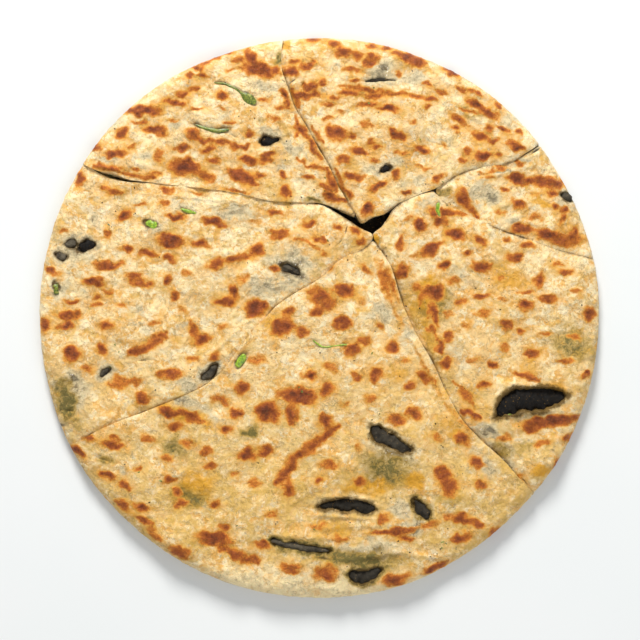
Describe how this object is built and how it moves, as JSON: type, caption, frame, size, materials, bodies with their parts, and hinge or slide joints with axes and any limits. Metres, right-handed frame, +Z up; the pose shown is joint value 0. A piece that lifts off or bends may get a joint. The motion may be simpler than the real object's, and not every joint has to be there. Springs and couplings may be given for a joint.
{
  "type": "stuffed naan bread",
  "caption": "Round, flat stuffed naan with a thin pan-charred skin, cut into wedges that still lie together in a disc, for serving by the piece and eating by hand.",
  "frame": {"origin": "middle of the flat underside, where the bread rests on its plate or board", "axes": "+Z straight up out of the baked top; +Y from the middle towards the far side, +X to the right, seen from above"},
  "size_m": [0.2592, 0.2592, 0.0135],
  "materials": {
    "dough": "thin matt dough skin with a little oil, cream to straw, scorched brown in spots",
    "mushroom": "wet, glossy, brown-black wood-ear mushroom",
    "herb": "soft cooked green chive and herb leaf"
  },
  "bodies": {
    "root": {"wedge_top": "dough", "wedge_upper_left": "dough", "wedge_left": "dough", "wedge_front": "dough", "wedge_right": "dough", "wedge_upper_right": "dough", "chive_bright": "herb", "chive_long": "herb", "chive_short": "herb", "herb_by_rim": "herb", "herb_leaf": "herb", "herb_right": "herb", "herb_sprig": "herb", "herb_stalk": "herb", "filling_in_middle": "mushroom", "mushroom_by_cut": "mushroom", "mushroom_front_corner": "mushroom", "mushroom_front_long": "mushroom", "mushroom_front_middle": "mushroom", "mushroom_front_rim": "mushroom", "mushroom_front_slit": "mushroom", "mushroom_left_black": "mushroom", "mushroom_left_grey": "mushroom", "mushroom_left_low": "mushroom", "mushroom_left_lower": "mushroom", "mushroom_left_middle": "mushroom", "mushroom_right": "mushroom", "mushroom_top_slit": "mushroom", "mushroom_top_spot": "mushroom", "mushroom_upper_left": "mushroom", "mushroom_upper_right": "mushroom"}
  },
  "joints": []
}
